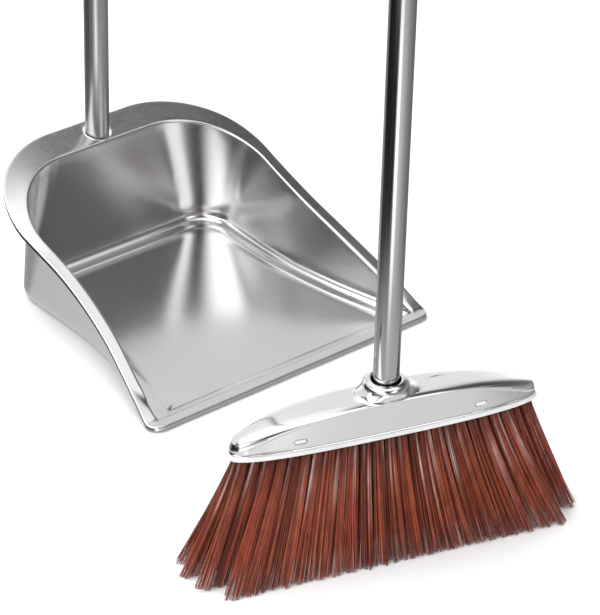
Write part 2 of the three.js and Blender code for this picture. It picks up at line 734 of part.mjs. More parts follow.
function buildBroom() {
  const broom = new THREE.Group();
  place(broom, 'head_cover', headCover(), polishedSteel());
  place(broom, 'bristle_block', bristleBlock(), whitePlastic());
  place(broom, 'head_stud', headStud(), darkPlastic());
  ROW_V.forEach((_, i) => place(broom, `bristle_row_${i + 1}`, bristleRow(i), bristleRed()));
  addHandle(broom, 'broom', BROOM_TUBE_R, BROOM_TUBE_Z, -BROOM_TURN);
  const clip = place(broom, 'handle_clip', handleClip(), whitePlastic());
  clip.rotation.z = -BROOM_TURN;
  broom.rotation.z = BROOM_TURN;
  broom.position.set(...BROOM_AT, 0);
  return broom;
}

set.add(buildPan());
set.add(buildBroom());

// The set's origin is the middle of its footprint, on the floor.
set.updateMatrixWorld(true);
const footprint = new THREE.Box3().setFromObject(set, true).getCenter(new THREE.Vector3());
set.position.set(-footprint.x, -footprint.y, 0);
set.updateMatrixWorld(true);

export default set;
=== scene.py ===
import math
import random

import bmesh
import bpy
from mathutils import Matrix, Vector
from mathutils.geometry import interpolate_bezier


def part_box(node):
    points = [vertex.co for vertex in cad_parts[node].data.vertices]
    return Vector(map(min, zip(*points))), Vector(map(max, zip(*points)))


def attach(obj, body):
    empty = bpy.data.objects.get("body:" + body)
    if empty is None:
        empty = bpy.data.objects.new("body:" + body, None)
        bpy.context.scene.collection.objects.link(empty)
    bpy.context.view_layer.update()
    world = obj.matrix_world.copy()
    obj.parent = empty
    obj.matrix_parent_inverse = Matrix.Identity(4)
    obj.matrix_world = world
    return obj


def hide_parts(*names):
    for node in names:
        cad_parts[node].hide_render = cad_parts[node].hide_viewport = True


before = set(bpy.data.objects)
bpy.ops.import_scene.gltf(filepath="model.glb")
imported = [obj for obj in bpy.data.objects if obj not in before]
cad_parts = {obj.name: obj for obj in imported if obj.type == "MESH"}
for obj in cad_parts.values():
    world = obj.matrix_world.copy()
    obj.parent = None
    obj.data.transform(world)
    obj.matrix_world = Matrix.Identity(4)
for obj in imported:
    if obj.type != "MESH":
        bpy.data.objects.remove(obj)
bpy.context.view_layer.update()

MM = 0.001

# ---------------------------------------------------------------- driving dimensions (mm)
GAP = 0.3

# the pan's sheet; its curves run from the front lip (0) to the rear edge
SHEET = 1.0
PAN_DEPTH = 307
FRONT_FLANGE = 11
SIDE_FLANGE = 12
REAR_FLANGE = 31.5
FLOOR_TOP = 1.0
STEP_UP = 0.8
PANEL_BORDER = 15
WALL_FILLET = 9
RIM_FILLET = 2.2
HEM_RADIUS = 1.1
HEM_DROP = 3.5
RIM_HALF_WIDTH = [(0, 158), (40, 150.5), (95, 140.5), (155, 135), (230, 137), (307, 139.5)]
RIM_HEIGHT = [(0, 6), (12, 6.3), (38, 21), (92, 47.5), (154, 70.7), (215, 90.3), (261, 107.4), (307, 123.6)]
RIM_DROOP = [(0, 0.3), (155, 0.8), (230, 2), (307, 3.2)]
# front and rear corner radius of the outline at each level
RIM_CORNERS = (12, 92)
INNER_CORNERS = (4, 75)
FOOT_CORNERS = (3, 31)
FLOOR_CORNERS = (3, 24)

# the gathered crease in each front corner: middle, direction, length and width, depth
DENT_PLACE = (139, 25)
DENT_ALONG = (0.45, 0.9)
DENT_SIZE = (11, 3.0)
DENT_DEPTH = 1.3

# the pan's handle: the bead round its hole, the tubes' ends, the cup and its screw
BEAD_R = 0.75
PAN_TUBE_R = 11
PAN_HANDLE_Y = 290.5
PAN_HOLE_R = 12.8
HOLE_CUT_Z = (100, 140)
PAN_TUBE_Z = [34, 378, 696, 1014, 1322]
CUP_R = 13.1
CUP_Z = (30, 92)
CUP_SCREW_Z = 62
PAD_HALF_WIDTH = 17
SCREW_HOLE_R = 2.4

# the broom: handle, block, stud and cover; the cover's curves run from its middle to its end
BROOM_TURN = math.radians(-16.9)
BROOM_TUBE_R = 10.5
BROOM_TUBE_Z = [122, 532, 836, 1140, 1444]
BLOCK_BOTTOM = 103
BLOCK_RIM = 4
COVER_BOTTOM = BLOCK_BOTTOM + BLOCK_RIM + GAP
RISER = (100, 12.6)
RISER_TOP = BLOCK_BOTTOM + 14
STUD_R = 9
COVER_L = 131
COVER_W = 17.2
COVER_SHEET = 0.9
COVER_EXPONENT = 2.8
PANEL_INSET = 2.2
NECK = (29, 16.2)
COLLAR_TOP = 147.5
COLLAR_R = 18.4
COLLAR_BORE = 11.8
SLOT_U = 77.2
SLOT_RISE = 7.3
SLOT_SIZE = (11, 4.6)
CREASE_RISE = [(0, 27), (40, 25.8), (66, 22.8), (86, 18.8), (106, 12.4), (120, 7), (131, 3.4)]
RIDGE_RISE = [
    (0, 28.8), (40, 27.9), (66, 25.8), (86, 23), (104, 19), (117, 15), (125, 12), (129, 9.4), (131, 4.4),
]

# bristle rows: place across the head, half length at the root and at the floor
ROW_V = [-11.2, -5.6, 0, 5.6, 11.2]
ROW_HALF = [100, 120, 124, 120, 100]
ROW_REACH = [142, 159, 163.83, 159, 142]
TUFT_PITCH = 10.1
FLARE_V = 3.5
TUFT_ROOT = (3.3, 1.9)
TUFT_TIP = (6.1, 7.2)

# what both handles share: tube wall, couplers, end cap, seams and hanging loop
TUBE_WALL = 1.0
COUPLER_REACH = 30
CAP_HEIGHT = 16
CAP_SKIRT = 8
CAP_R = 12.3
CAP_PLUG = 15
PLUG_PLAY = 0.4
SEAM_HALF = 1.0
LOOP_PIVOT = 6
LOOP_ROD_R = 1.5
LOOP_HALF_WIDTH = 19.5
LOOP_DROP = 36

# the storage clip
CLIP_Z = 1055
CLIP_TALL = 26
CLIP_WALL = 2.6
CLIP_WEB = 7.5
CLIP_MOUTH = math.radians(50)


# ---------------------------------------------------------------- local frames
def axis_of(node):
    """Where the upright axis of a round node stands, in metres."""
    low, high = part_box(node)
    return Vector(((low[0] + high[0]) / 2, (low[1] + high[1]) / 2, 0))


PAN_HANDLE = Matrix.Translation(axis_of("pan_tube_4")) @ Matrix.Scale(MM, 4)
BROOM_HANDLE = Matrix.Translation(axis_of("broom_tube_4")) @ Matrix.Scale(MM, 4)
PAN = PAN_HANDLE @ Matrix.Translation((0, -PAN_HANDLE_Y, 0))
BROOM = BROOM_HANDLE @ Matrix.Rotation(BROOM_TURN, 4, "Z")


# ---------------------------------------------------------------- numbers
def lerp(a, b, t):
    """The number this share of the way from a to b."""
    return a + (b - a) * t


def clamp(x, low=0.0, high=1.0):
    return max(low, min(high, x))


def profile(points):
    """Smooth curve through (x, value) points, as a function of x."""
    last = len(points) - 1
    slopes = []
    for i in range(len(points)):
        before, after = points[max(i - 1, 0)], points[min(i + 1, last)]
        slopes.append((after[1] - before[1]) / (after[0] - before[0]))

    def value(x):
        i = 0
        while i < last - 1 and x > points[i + 1][0]:
            i += 1
        (x0, y0), (x1, y1) = points[i], points[i + 1]
        h = x1 - x0
        t = clamp((x - x0) / h)
        rise = (1 + 2 * t) * (1 - t) ** 2 * y0 + t * t * (3 - 2 * t) * y1
        return rise + t * (1 - t) ** 2 * h * slopes[i] + t * t * (t - 1) * h * slopes[i + 1]

    return value


# ---------------------------------------------------------------- mesh helpers
def make(name, points, faces, material, place, sharp=40):
    """A smooth-shaded mesh object from points in mm and faces."""
    mesh = bpy.data.meshes.new(name)
    mesh.from_pydata([tuple(place @ Vector(p)) for p in points], [], faces)
    obj = bpy.data.objects.new(name, mesh)
    bpy.context.scene.collection.objects.link(obj)
    mesh.materials.append(material)
    tidy(obj, sharp)
    return obj


def tidy(obj, sharp=40):
    """Outward normals, no doubled points, smooth shading with edges over the angle left sharp."""
    bm = bmesh.new()
    bm.from_mesh(obj.data)
    bmesh.ops.remove_doubles(bm, verts=bm.verts, dist=1e-6)
    bmesh.ops.dissolve_degenerate(bm, edges=bm.edges, dist=1e-6)
    bmesh.ops.recalc_face_normals(bm, faces=bm.faces)
    bm.to_mesh(obj.data)
    bm.free()
    obj.data.polygons.foreach_set("use_smooth", [True] * len(obj.data.polygons))
    obj.data.set_sharp_from_angle(angle=math.radians(sharp))
    obj.data.update()


def stack(rings, close_start, close_end):
    """Points and faces of a stack of closed rings of equal count."""
    count = len(rings[0])
    points = [p for ring in rings for p in ring]
    faces = []
    for r in range(len(rings) - 1):
        for i in range(count):
            j = (i + 1) % count
            a, b = r * count + i, r * count + j
            faces.append((a, b, b + count, a + count))
    if close_start:
        faces.append(tuple(range(count - 1, -1, -1)))
    if close_end:
        faces.append(tuple((len(rings) - 1) * count + i for i in range(count)))
    return points, faces


def turned(outline, segments=96):
    """Rings of a turned solid about Z from (radius, z) points; radius 0 is a tiny circle."""
    rings = []
    for radius, z in outline:
        r = max(radius, 0.02)
        turns = [2 * math.pi * i / segments for i in range(segments)]
        rings.append([(r * math.cos(a), r * math.sin(a), z) for a in turns])
    return rings


def rounded(outline, radius, steps=4):
    """A (radius, z) outline with its inner corners rounded."""
    made = [outline[0]]
    for before, here, after in zip(outline, outline[1:], outline[2:]):
        p0, p1, p2 = Vector(before), Vector(here), Vector(after)
        reach = min(radius, (p0 - p1).length * 0.45, (p2 - p1).length * 0.45)
        start = p1 + (p0 - p1).normalized() * reach
        end = p1 + (p2 - p1).normalized() * reach
        for i in range(steps + 1):
            t = i / steps
            made.append(tuple(start * (1 - t) ** 2 + p1 * 2 * t * (1 - t) + end * t * t))
    made.append(outline[-1])
    return made


def lathe(name, outline, material, place, soften=0.35, segments=96, sharp=50):
    """A turned piece. An outline that starts and ends on the axis is a solid, any other a ring."""
    shape = rounded(outline, soften)
    solid = outline[0][0] == 0 and outline[-1][0] == 0
    points, faces = stack(turned(shape, segments), solid, solid)
    return make(name, points, faces, material, place, sharp)


def ring_wall(outer, inner, z0, z1):
    """Closed outline of a plain tube's wall."""
    middle = (outer + inner) / 2
    return [(middle, z0), (outer, z0), (outer, z1), (inner, z1), (inner, z0), (middle, z0)]


def sheet(rings, thickness, floor):
    """A sheet's two faces from rings of its upper face, listed from the inside out."""
    count = len(rings[0])
    last = len(rings) - 1
    lower = []
    for r, ring in enumerate(rings):
        out, back = rings[min(r + 1, last)], rings[max(r - 1, 0)]
        row = []
        for i, p in enumerate(ring):
            along = Vector(ring[(i + 1) % count]) - Vector(ring[i - 1])
            across = Vector(out[i]) - Vector(back[i])
            row.append(tuple(Vector(p) - across.cross(along).normalized() * thickness))
        lower.append(row)
    if floor:
        lower[0] = [(x, y, z - thickness) for x, y, z in rings[0]]
        return stack(lower + rings[::-1], True, True)
    return stack(rings + lower[::-1] + [rings[0]], False, False)


def boolean(obj, tool, operation="DIFFERENCE", solver="EXACT"):
    """Adds or cuts another object, which is used up."""
    modifier = obj.modifiers.new("cut", "BOOLEAN")
    modifier.operation = operation
    modifier.solver = solver
    modifier.object = tool
    apply_modifiers(obj)
    bpy.data.objects.remove(tool)


def apply_modifiers(obj):
    """Gives the object the mesh that its modifiers make, and drops them."""
    bpy.context.view_layer.update()
    result = obj.evaluated_get(bpy.context.evaluated_depsgraph_get())
    made = bpy.data.meshes.new_from_object(result)
    obj.modifiers.clear()
    obj.data = made


def bevel(obj, width, angle):
    """Rounds the edges that turn by more than the angle."""
    modifier = obj.modifiers.new("soften", "BEVEL")
    modifier.width = width * MM
    modifier.segments = 3
    modifier.limit_method = "ANGLE"
    modifier.angle_limit = math.radians(angle)
    apply_modifiers(obj)


def prism(name, outline, z0, z1, material, place, soften=0.0, sharp=40):
    """Upright prism from (x, y) points, with its long edges softened."""
    base = [(x, y, z0) for x, y in outline]
    top = [(x, y, z1) for x, y in outline]
    obj = make(name, *stack([base, top], True, True), material, place, sharp)
    if soften:
        bevel(obj, soften, 35)
        tidy(obj, sharp)
    return obj


def sweep(name, route, radius, material, place, sides=16):
    """A round rod along a route of points, with rounded ends."""
    points = [Vector(p) for p in route]
    side = Vector((0, 1, 0))
    rings = []
    last = len(points) - 1
    for i, p in enumerate(points):
        along = (points[min(i + 1, last)] - points[max(i - 1, 0)]).normalized()
        u = (side - along * side.dot(along)).normalized()
        v = along.cross(u)
        turns = [2 * math.pi * k / sides for k in range(sides)]
        if i == 0 or i == last:
            tip = p + along * radius * (-0.35 if i == 0 else 0.35)
            small = [tuple(tip + (u * math.cos(a) + v * math.sin(a)) * radius * 0.6) for a in turns]
        ring = [tuple(p + (u * math.cos(a) + v * math.sin(a)) * radius) for a in turns]
        rings += [small, ring] if i == 0 else [ring, small] if i == last else [ring]
    return make(name, *stack(rings, True, True), material, place, 60)


def smooth_route(points, per_span=8):
    """A smooth curve through points, closely spaced."""
    pts = [Vector(p) for p in points]
    last = len(pts) - 1
    made = []
    for i in range(last):
        span = (pts[i + 1] - pts[i]).length
        before = (pts[i + 1] - pts[max(i - 1, 0)]).normalized() * span / 3
        after = (pts[min(i + 2, last)] - pts[i]).normalized() * span / 3
        curve = interpolate_bezier(pts[i], pts[i] + before, pts[i + 1] - after, pts[i + 1], per_span + 1)
        made += curve[:-1]
    return made + [pts[-1]]


def add_piece(obj, body, slot, *nodes):
    """The object stands for these CAD nodes, which it hides, and rides on the body; the slot is not used.
    """
    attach(obj, body)
    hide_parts(*nodes)


# ---------------------------------------------------------------- materials
class Look:
    """A node material with one Principled shader, and short calls that add nodes to it."""

    def __init__(self, name, **values):
        self.material = bpy.data.materials.new(name)
        self.material.use_nodes = True
        self.tree = self.material.node_tree
        self.shader = self.tree.nodes["Principled BSDF"]
        for key, value in values.items():
            self.shader.inputs[key.replace("_", " ")].default_value = value
        self.where = self.tree.nodes.new("ShaderNodeTexCoord").outputs["Object"]

    def node(self, kind, **values):
        made = self.tree.nodes.new(kind)
        for key, value in values.items():
            setattr(made, key, value)
        return made

    def link(self, output, name):
        self.tree.links.new(output, self.shader.inputs[name])

    def noise(self, scale, detail=2.0, stretch=(1, 1, 1)):
        """Noise with features about 1/scale metres across, stretched along an axis."""
        mapping = self.node("ShaderNodeMapping")
        mapping.inputs["Scale"].default_value = stretch
        self.tree.links.new(self.where, mapping.inputs["Vector"])
        noise = self.node("ShaderNodeTexNoise")
        noise.inputs["Scale"].default_value = scale
        noise.inputs["Detail"].default_value = detail
        self.tree.links.new(mapping.outputs["Vector"], noise.inputs["Vector"])
        return noise.outputs["Fac"]

    def between(self, value, low, high, from_low=0.3, from_high=0.7):
        """The value spread between two numbers."""
        spread = self.node("ShaderNodeMapRange")
        limits = {"From Min": from_low, "From Max": from_high, "To Min": low, "To Max": high}
        for key, number in limits.items():
            spread.inputs[key].default_value = number
        self.tree.links.new(value, spread.inputs["Value"])
        return spread.outputs["Result"]

    def shades(self, value, dark, light, from_low=0.3, from_high=0.7):
        """A colour between two, by the value."""
        ramp = self.node("ShaderNodeValToRGB")
        ramp.color_ramp.elements[0].position = from_low
        ramp.color_ramp.elements[0].color = (*dark, 1)
        ramp.color_ramp.elements[1].position = from_high
        ramp.color_ramp.elements[1].color = (*light, 1)
        self.tree.links.new(value, ramp.inputs["Fac"])
        return ramp.outputs["Color"]

    def bump(self, height, strength, distance):
        bump = self.node("ShaderNodeBump")
        bump.inputs["Strength"].default_value = strength
        bump.inputs["Distance"].default_value = distance
        self.tree.links.new(height, bump.inputs["Height"])
        self.link(bump.outputs["Normal"], "Normal")


def metal(name, dark, light, roughness, grain, bump):
    """Bare steel: a slow change of shade, and fine brushing that is stretched along one axis."""
    look = Look(name, Metallic=1.0)
    cloud = look.noise(5, 3)
    brush = look.noise(700, 2, grain)
    look.link(look.shades(cloud, dark, light), "Base Color")
    look.link(look.between(brush, *roughness), "Roughness")
    look.bump(brush, bump, 0.0001)
    return look.material


def grey(value, blue=1.01):
    """A neutral colour with a little more blue in it."""
    return (value, value, value * blue)


def plastic(name, dark, light, roughness, bump=0.08, **values):
    """Moulded plastic: a slow change of shade and a fine grain."""
    look = Look(name, **values)
    look.link(look.shades(look.noise(30, 4), dark, light), "Base Color")
    fine = look.noise(1400, 2)
    look.link(look.between(fine, *roughness), "Roughness")
    look.bump(fine, bump, 0.0001)
    return look.material


def bristle_look():
    """Glossy filaments: each has its own shade, kept in the mesh as a colour, which also holds painted
    highlight streaks and painted shade towards the root.
    """
    look = Look("bristle_filaments", Roughness=0.26, IOR=1.55)
    shade = look.node("ShaderNodeVertexColor", layer_name="shade")
    streak = look.shades(look.noise(160, 3, (1, 1, 0.25)), (0.72, 0.72, 0.72), (1.18, 1.18, 1.18))
    mix = look.node("ShaderNodeMix", data_type="RGBA", blend_type="MULTIPLY")
    mix.inputs["Factor"].default_value = 1.0
    look.tree.links.new(shade.outputs["Color"], mix.inputs["A"])
    look.tree.links.new(streak, mix.inputs["B"])
    look.link(mix.outputs["Result"], "Base Color")
    look.bump(look.noise(900, 2, (1, 1, 0.1)), 0.15, 0.0002)
    return look.material


ALONG = (1, 1, 0.012)
LOOKS = {
    "pan_steel": metal("satin_steel", grey(0.6), grey(0.65), (0.18, 0.21), (0.35, 0.35, 0.35), 0.008),
    "tube_steel": metal("brushed_tube_steel", grey(0.43), grey(0.47), (0.1, 0.2), ALONG, 0.10),
    "pan_tube": metal("satin_tube_steel", grey(0.41), grey(0.5), (0.26, 0.4), ALONG, 0.16),
    "cover_steel": metal("polished_steel", grey(0.76), grey(0.82), (0.07, 0.12), (0.3, 0.3, 0.3), 0.015),
    "cap_metal": metal("cap_chrome", grey(0.74), grey(0.8), (0.05, 0.1), (0.3, 0.3, 0.3), 0.01),
    "screw_steel": metal("screw_steel", grey(0.5), grey(0.6), (0.2, 0.34), (1, 1, 1), 0.05),
    "white_plastic": plastic("white_plastic", grey(0.82), grey(0.88), (0.3, 0.42)),
    "clip_plastic": plastic(
        "translucent_clip", grey(0.8), grey(0.88), (0.22, 0.34), Transmission_Weight=0.45, IOR=1.46,
    ),
    "loop_plastic": plastic(
        "clear_loop", grey(0.9), grey(0.97), (0.06, 0.12), 0.03, Transmission_Weight=0.9, IOR=1.47,
    ),
    "dark_plastic": plastic("dark_plastic", grey(0.035), grey(0.06), (0.4, 0.55)),
    "bristles": bristle_look(),
}


# ---------------------------------------------------------------- pan
rim_half_width = profile(RIM_HALF_WIDTH)
rim_height = profile(RIM_HEIGHT)
rim_droop = profile(RIM_DROOP)
REAR_WALL_TOP_Y = PAN_DEPTH - REAR_FLANGE
REAR_WALL_FOOT_Y = REAR_WALL_TOP_Y - 6.2


def wall_inset(y):
    """How far in from the rim's edge the foot of the side wall stands."""
    return SIDE_FLANGE + 2.5 + 0.1 * (rim_height(y) - RIM_HEIGHT[0][1])


FRONT_STEPS, CORNER_STEPS, SIDE_STEPS, REAR_CORNER_STEPS = 24, 14, 56, 44


def pan_outline(front, rear, inset, front_radius, rear_radius):
    """Closed outline of the pan at one level, anticlockwise from the middle of the front edge."""

    def side_x(y):
        return rim_half_width(y) - inset(y)

    front_x = side_x(front + front_radius) - front_radius
    rear_x = side_x(rear - rear_radius) - rear_radius
    half = [(front_x * i / FRONT_STEPS, front) for i in range(FRONT_STEPS)]
    for i in range(CORNER_STEPS):
        a = math.pi / 2 * (i / CORNER_STEPS - 1)
        half.append((front_x + front_radius * math.cos(a), front + front_radius * (1 + math.sin(a))))
    for i in range(SIDE_STEPS):
        y = lerp(front + front_radius, rear - rear_radius, (i / SIDE_STEPS) ** 1.15)
        half.append((side_x(y), y))
    for i in range(REAR_CORNER_STEPS):
        a = math.pi / 2 * i / REAR_CORNER_STEPS
        half.append((rear_x + rear_radius * math.cos(a), rear - rear_radius * (1 - math.sin(a))))
    half += [(rear_x * (1 - i / CORNER_STEPS), rear) for i in range(CORNER_STEPS)]
    mirrored = [(-x, y) for x, y in half[:0:-1]]
    return half + [(0, rear)] + mirrored


def pan_levels():
    """The edge of the sunken floor panel, the foot and top of the walls, and the rim's edge."""
    rim = pan_outline(0, PAN_DEPTH, lambda y: 0, *RIM_CORNERS)
    inner = pan_outline(FRONT_FLANGE, REAR_WALL_TOP_Y, lambda y: SIDE_FLANGE, *INNER_CORNERS)
    foot = pan_outline(FRONT_FLANGE + 3, REAR_WALL_FOOT_Y, wall_inset, *FOOT_CORNERS)
    front, rear = FRONT_FLANGE + 12, REAR_WALL_FOOT_Y - PANEL_BORDER
    floor = pan_outline(front, rear, lambda y: wall_inset(y) + PANEL_BORDER, *FLOOR_CORNERS)
    base = FLOOR_TOP + STEP_UP
    return (
        [Vector((x, y, base)) for x, y in floor],
        [Vector((x, y, base)) for x, y in foot],
        [Vector((x, y, rim_height(y))) for x, y in inner],
        [Vector((x, y, rim_height(y) - rim_droop(y))) for x, y in rim],
    )


def towards(start, end, distance):
    """The point this far along the way from start to end."""
    return start.lerp(end, min(distance / (end - start).length, 1))


def bend(a, corner, b, steps):
    """Points along a rounded corner, from a to b."""
    shares = [i / steps for i in range(steps + 1)]
    return [a.lerp(corner, share).lerp(corner.lerp(b, share), share) for share in shares]


FLOOR_MIDDLE = Vector((0, 140, FLOOR_TOP))


def pan_section(floor, foot, inner, rim):
    """One section of the sheet's upper face, from the floor panel out to the hem."""
    rise = inner.z - foot.z
    fillet = min(WALL_FILLET, 0.42 * rise)
    lip = min(RIM_FILLET, 0.3 * rise)
    edge = Vector((floor.x, floor.y, FLOOR_TOP))
    panel = [FLOOR_MIDDLE.lerp(edge, share) for share in (0.06, 0.25, 0.5, 0.75, 0.92)]
    border = floor.lerp(foot, 0.16)
    step = bend(edge, edge.lerp(border, 0.5).lerp(floor, 0.35), border, 4)
    on_floor, on_wall = towards(foot, floor, fillet), towards(foot, inner, fillet)
    wall_top, on_rim = towards(inner, foot, lip), towards(inner, rim, lip)
    rim_edge = towards(rim, inner, HEM_RADIUS)
    hem_top = rim - Vector((0, 0, HEM_RADIUS))
    wall = [on_wall.lerp(wall_top, share) for share in (0.12, 0.3, 0.5, 0.7, 0.88)]
    flange = [on_rim.lerp(rim_edge, share) for share in (0.15, 0.35, 0.55, 0.75, 0.93)]
    drop = [hem_top.lerp(rim - Vector((0, 0, HEM_DROP)), share) for share in (0.5, 1)]
    section = panel + step + bend(on_floor, foot, on_wall, 8) + wall
    return section + bend(wall_top, inner, on_rim, 6) + flange + bend(rim_edge, rim, hem_top, 4) + drop


def corner_dent(point):
    """How far the sheet is pushed down by the gathered crease in each front corner."""
    x, y = abs(point.x) - DENT_PLACE[0], point.y - DENT_PLACE[1]
    along = x * DENT_ALONG[0] + y * DENT_ALONG[1]
    across = x * DENT_ALONG[1] - y * DENT_ALONG[0]
    return DENT_DEPTH * math.exp(-((along / DENT_SIZE[0]) ** 2) - ((across / DENT_SIZE[1]) ** 2))


def pan_body():
    """The pressed sheet, with the handle's hole and the bead round it."""
    levels = pan_levels()
    sections = [pan_section(*corner) for corner in zip(*levels)]
    for section in sections:
        for point in section:
            point.z -= corner_dent(point) * clamp((point.z - FLOOR_TOP) / 4)
    rings = [[tuple(s[r]) for s in sections] for r in range(len(sections[0]))]
    obj = make("dustpan_sheet", *sheet(rings, SHEET, True), LOOKS["pan_steel"], PAN)
    low, high = HOLE_CUT_Z
    hole = [(0, low), (PAN_HOLE_R, low), (PAN_HOLE_R, high), (0, high)]
    boolean(obj, lathe("hole", hole, None, PAN_HANDLE))
    turns = [2 * math.pi * i / 72 for i in range(72)]
    flange_low = rim_height(PAN_DEPTH) - rim_droop(PAN_DEPTH)
    bead_r = PAN_HOLE_R + 0.5
    rings = []
    for a in turns:
        x, y = bead_r * math.cos(a), PAN_HANDLE_Y + bead_r * math.sin(a)
        z = lerp(rim_height(REAR_WALL_TOP_Y), flange_low, (y - REAR_WALL_TOP_Y) / REAR_FLANGE)
        centre = Vector((x, y, z - 0.25))
        out = Vector((math.cos(a), math.sin(a), 0))
        spokes = [out * math.cos(k) + Vector((0, 0, 1)) * math.sin(k) for k in turns[::6]]
        rings.append([tuple(centre + spoke * BEAD_R) for spoke in spokes])
    bead = make("bead", *stack(rings + rings[:1], False, False), None, PAN)
    boolean(obj, bead, "UNION")
    tidy(obj, 35)
    add_piece(obj, "dustpan", "pan_steel", "pan_body")


def handle_cup():
    """The cup for the handle's foot, with the pad that is welded to the rear wall."""
    bore = PAN_TUBE_R + GAP
    low, high = CUP_Z
    seat = PAN_TUBE_Z[0] - GAP
    shell = [(0, low), (CUP_R, low), (CUP_R, high), (bore, high), (bore, seat), (0, seat)]
    cup = lathe("dustpan_handle_cup", shell, LOOKS["pan_steel"], PAN_HANDLE, 1.6)

    def pad_front(z):
        wall = lerp(REAR_WALL_FOOT_Y, REAR_WALL_TOP_Y, z / rim_height(REAR_WALL_TOP_Y))
        return wall + SHEET + GAP + 0.1 - PAN_HANDLE_Y

    lowest, highest, back = low + 6, high - 4, 1 - bore
    front = [pad_front(lowest), pad_front(highest)]
    corners = [(lowest, front[0]), (lowest, back), (highest, back), (highest, front[1])]
    upright = PAN_HANDLE @ Matrix.Rotation(math.pi / 2, 4, "Y")
    outline = [(-z, y) for z, y in corners]
    pad = prism("pad", outline, -PAD_HALF_WIDTH, PAD_HALF_WIDTH, LOOKS["pan_steel"], upright, 0.8)
    boolean(cup, pad, "UNION")
    room = [(0, seat), (bore, seat), (bore, high + 1), (0, high + 1)]
    boolean(cup, lathe("room", room, None, PAN_HANDLE, 0))
    boolean(cup, screw_room())
    tidy(cup, 35)
    add_piece(cup, "dustpan", "pan_steel", "pan_handle_cup")


TO_THE_REAR = Matrix.Rotation(-math.pi / 2, 4, "X")
SCREW_PLACE = PAN_HANDLE @ Matrix.Translation((0, 0, CUP_SCREW_Z)) @ TO_THE_REAR


def screw_room():
    """The hole for the cup's screw, through cup and tube."""
    outline = [(0, 5), (SCREW_HOLE_R, 5), (SCREW_HOLE_R, 20), (0, 20)]
    return lathe("room", outline, None, SCREW_PLACE, 0, 32)


def cup_screw():
    """The screw through cup and tube, with a cross in its head."""
    seat = CUP_R + GAP
    head = [(0, -7), (2, -7), (2, 0), (4, 0), (4, 1.2), (2.8, 2.2), (0, 2.6)]
    outline = [(r, z + seat) for r, z in head]
    screw = lathe("dustpan_cup_screw", outline, LOOKS["screw_steel"], SCREW_PLACE, 0.5, 48)
    for a, b in ((2.2, 0.45), (0.45, 2.2)):
        bar = [(-a, -b), (a, -b), (a, b), (-a, b)]
        boolean(screw, prism("cross", bar, seat + 1.2, seat + 4, None, SCREW_PLACE))
    tidy(screw, 35)
    add_piece(screw, "dustpan", "screw_steel", "pan_cup_screw")


# ---------------------------------------------------------------- handles
def end_cap(name, radius, top, place):
    """The domed cap on a handle's top, with its plug and the bore for the loop."""
    plug = radius - TUBE_WALL - PLUG_PLAY
    dome_r, dome_low = CAP_R - 0.6, CAP_SKIRT + 1
    dome = []
    for i in range(13):
        a = math.pi / 2 * i / 12
        dome.append((dome_r * math.cos(a), dome_low + (CAP_HEIGHT - CAP_SKIRT - 1) * math.sin(a)))
    dome[-1] = (0, CAP_HEIGHT)
    skirt = [(0, -CAP_PLUG), (plug, -CAP_PLUG), (plug, GAP)]
    skirt += [(CAP_R, GAP), (CAP_R, CAP_SKIRT), (dome_r, CAP_SKIRT + 0.7)]
    outline = [(r, z + top) for r, z in skirt + dome]
    cap = lathe(name, outline, LOOKS["cap_metal"], place, 0.5)
    across = place @ Matrix.Translation((0, 0, top + LOOP_PIVOT)) @ Matrix.Rotation(math.pi / 2, 4, "Y")
    bore = LOOP_ROD_R + GAP
    boolean(cap, lathe("bore", [(0, -20), (bore, -20), (bore, 20), (0, 20)], None, across, 0, 32))
    tidy(cap, 35)
    return cap


def hang_loop(name, radius, top, place):
    """The loop of clear rod, hanging down against the handle."""
    half = LOOP_HALF_WIDTH
    route = [
        (-5, 0), (-9, 0), (-14, -0.2), (-half + 1.6, -2.6), (-half, -9), (-half + 1, -19),
        (-half + 6.5, -29), (-6.6, -LOOP_DROP + 1.1), (0, -LOOP_DROP),
    ]
    route += [(-x, z) for x, z in route[-2::-1]]
    lean = math.asin((radius + LOOP_ROD_R + 2 * GAP) / LOOP_DROP)
    turn = Matrix.Rotation(-lean, 4, "X")
    points = smooth_route([turn @ Vector((x, 0, z)) for x, z in route])
    pivot = place @ Matrix.Translation((0, 0, top + LOOP_PIVOT))
    return sweep(name, points, LOOP_ROD_R, LOOKS["loop_plastic"], pivot)


def handle(prefix, body, radius, heights, place, tube_look):
    """The tube sections, couplers, end cap and hanging loop of one handle."""
    for i in range(4):
        bottom = heights[i] + (SEAM_HALF if i > 0 else 0)
        top = heights[i + 1] - (SEAM_HALF if i < 3 else 0)
        outline = ring_wall(radius, radius - TUBE_WALL, bottom, top)
        tube = lathe(f"{body}_tube_{i + 1}", outline, tube_look, place)
        if prefix == "pan" and i == 0:
            boolean(tube, screw_room())
            tidy(tube, 35)
        add_piece(tube, body, "tube_steel", f"{prefix}_tube_{i + 1}")
    plug, collar = radius - TUBE_WALL - PLUG_PLAY, radius - 0.2
    half_coupler = [(0, COUPLER_REACH), (plug, COUPLER_REACH), (plug, 0.7), (collar, 0.7)]
    for i, seam in enumerate(heights[1:-1]):
        outline = [(r, seam - z) for r, z in half_coupler]
        outline += [(r, seam + z) for r, z in half_coupler[::-1]]
        coupler = lathe(f"{body}_coupler_{i + 1}", outline, LOOKS["dark_plastic"], place, 0.2)
        add_piece(coupler, body, "dark_plastic", f"{prefix}_coupler_{i + 1}")
    cap = end_cap(f"{body}_end_cap", radius, heights[-1], place)
    add_piece(cap, body, "cap_metal", f"{prefix}_end_cap")
    loop = hang_loop(f"{body}_hanging_loop", radius, heights[-1], place)
    add_piece(loop, f"{prefix}_hang_loop", "loop_plastic", f"{prefix}_hang_loop")


